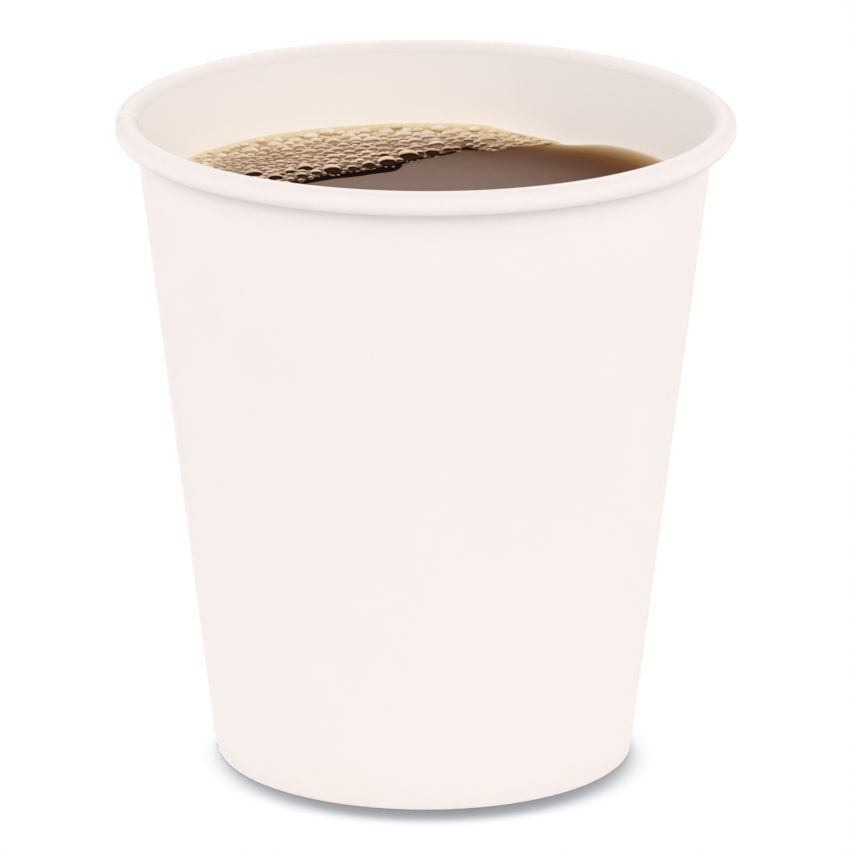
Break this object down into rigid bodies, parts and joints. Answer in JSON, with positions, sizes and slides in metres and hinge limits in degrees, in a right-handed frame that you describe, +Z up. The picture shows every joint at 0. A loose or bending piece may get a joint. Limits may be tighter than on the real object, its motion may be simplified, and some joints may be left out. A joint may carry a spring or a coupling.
{
  "type": "paper coffee cup",
  "caption": "Single-wall paper cup with a rolled rim and recessed base, filled with black coffee that carries a crescent of froth at one side.",
  "frame": {"origin": "centre of the standing ring, on the surface the cup stands on", "axes": "+Z up through the rim, -Y the front, -X the side seam"},
  "size_m": [0.09, 0.09, 0.096],
  "materials": {
    "board": "off-white board, matt outside, with a thin clear coating inside",
    "bottom_board": "off-white board, coated on the drink's side",
    "coffee": "still dark liquid",
    "froth": "tan bubbles, wet"
  },
  "bodies": {
    "root": {"cup_wall": "board", "cup_bottom": "bottom_board", "coffee": "coffee", "froth": "froth"}
  },
  "joints": []
}
